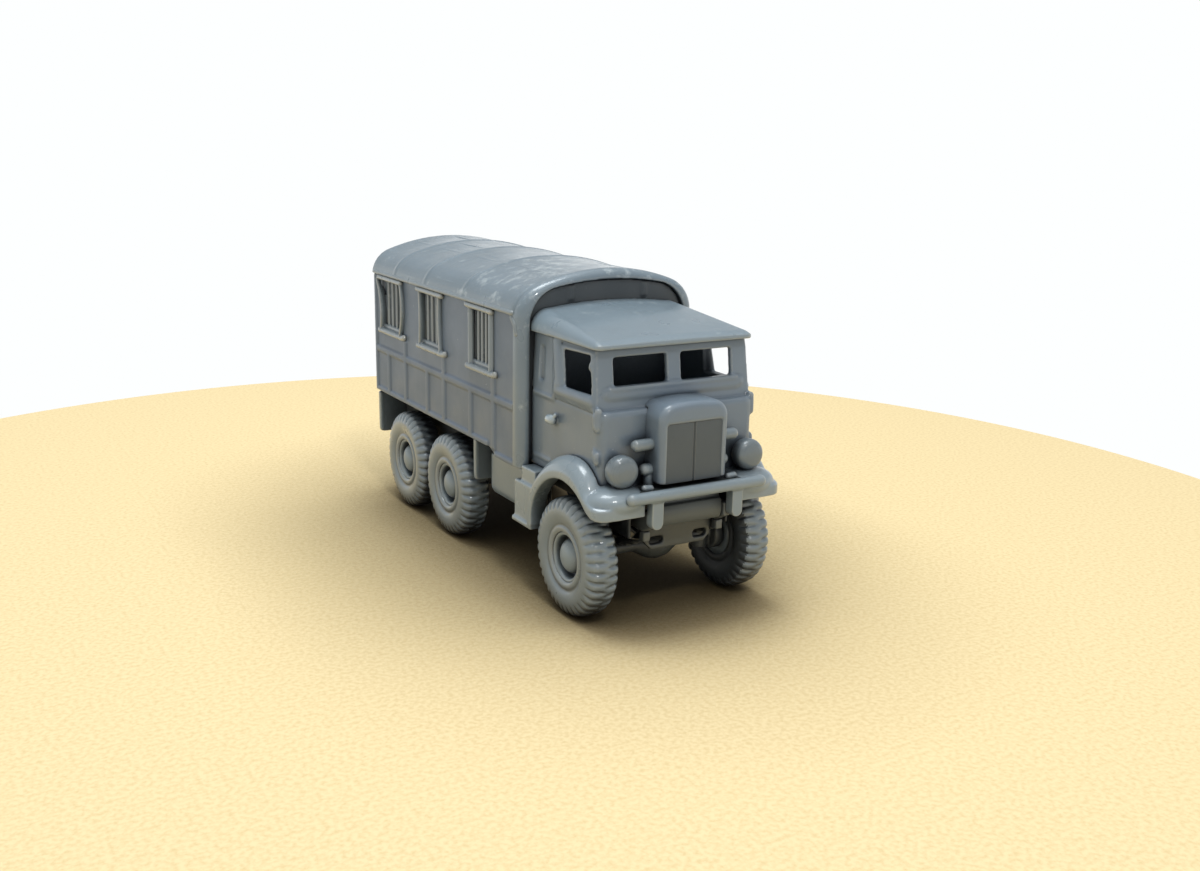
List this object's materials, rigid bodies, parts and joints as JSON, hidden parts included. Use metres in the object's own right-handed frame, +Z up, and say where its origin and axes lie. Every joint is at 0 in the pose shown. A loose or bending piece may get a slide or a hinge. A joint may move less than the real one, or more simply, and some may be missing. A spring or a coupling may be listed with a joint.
{
  "type": "military truck scale model",
  "caption": "Cast resin scale model of a military truck with a closed house body, a hollow cab and turning wheels.",
  "frame": {"origin": "on the ground, at the middle of the model's length and width", "axes": "front faces -Y, the vehicle's right side is -X, +Z up, wheels stand on Z = 0"},
  "size_m": [0.0332, 0.0888, 0.0498],
  "materials": {
    "resin": "satin cast resin"
  },
  "bodies": {
    "truck": {"body_bearers": "resin", "body_bulkhead": "resin", "body_floor": "resin", "body_front_frame": "resin", "body_rear_wall": "resin", "body_roof": "resin", "body_side_left": "resin", "body_side_right": "resin", "bogie_spring_left": "resin", "bogie_spring_right": "resin", "cab_roof": "resin", "cab_shell": "resin", "chassis_rail_left": "resin", "chassis_rail_right": "resin", "crossmembers": "resin", "engine_block": "resin", "front_apron": "resin", "front_axle": "resin", "front_bumper": "resin", "front_spring_left": "resin", "front_spring_right": "resin", "fuel_tank_left": "resin", "fuel_tank_right": "resin", "headlamp_left": "resin", "headlamp_right": "resin", "middle_axle": "resin", "mud_flap_middle_left": "resin", "mud_flap_middle_right": "resin", "mud_flap_rear_left": "resin", "mud_flap_rear_right": "resin", "propeller_shafts": "resin", "radiator_cowl": "resin", "radiator_grille": "resin", "rear_axle": "resin", "side_arm_left": "resin", "side_arm_right": "resin", "side_lamp_left": "resin", "side_lamp_right": "resin", "tow_plate": "resin", "transfer_box": "resin", "window_front_left": "resin", "window_front_right": "resin", "window_middle_left": "resin", "window_middle_right": "resin", "window_rear_left": "resin", "window_rear_right": "resin", "wing_left": "resin", "wing_right": "resin"},
    "wheel_front_right": {"tyre_front_right": "resin", "disc_front_right": "resin"},
    "wheel_front_left": {"tyre_front_left": "resin", "disc_front_left": "resin"},
    "wheel_middle_right": {"tyre_middle_right": "resin", "disc_middle_right": "resin"},
    "wheel_middle_left": {"tyre_middle_left": "resin", "disc_middle_left": "resin"},
    "wheel_rear_right": {"tyre_rear_right": "resin", "disc_rear_right": "resin"},
    "wheel_rear_left": {"tyre_rear_left": "resin", "disc_rear_left": "resin"}
  },
  "joints": [
    {"name": "front_right_spin", "type": "hinge", "parent": "truck", "child": "wheel_front_right", "pos_m": [-0.0137, -0.0322, 0.0091], "axis": [1, 0, 0], "continuous": true},
    {"name": "front_left_spin", "type": "hinge", "parent": "truck", "child": "wheel_front_left", "pos_m": [0.0137, -0.0322, 0.0091], "axis": [1, 0, 0], "continuous": true},
    {"name": "middle_right_spin", "type": "hinge", "parent": "truck", "child": "wheel_middle_right", "pos_m": [-0.0137, 0.0106, 0.0091], "axis": [1, 0, 0], "continuous": true},
    {"name": "middle_left_spin", "type": "hinge", "parent": "truck", "child": "wheel_middle_left", "pos_m": [0.0137, 0.0106, 0.0091], "axis": [1, 0, 0], "continuous": true},
    {"name": "rear_right_spin", "type": "hinge", "parent": "truck", "child": "wheel_rear_right", "pos_m": [-0.0137, 0.0296, 0.0091], "axis": [1, 0, 0], "continuous": true},
    {"name": "rear_left_spin", "type": "hinge", "parent": "truck", "child": "wheel_rear_left", "pos_m": [0.0137, 0.0296, 0.0091], "axis": [1, 0, 0], "continuous": true}
  ]
}
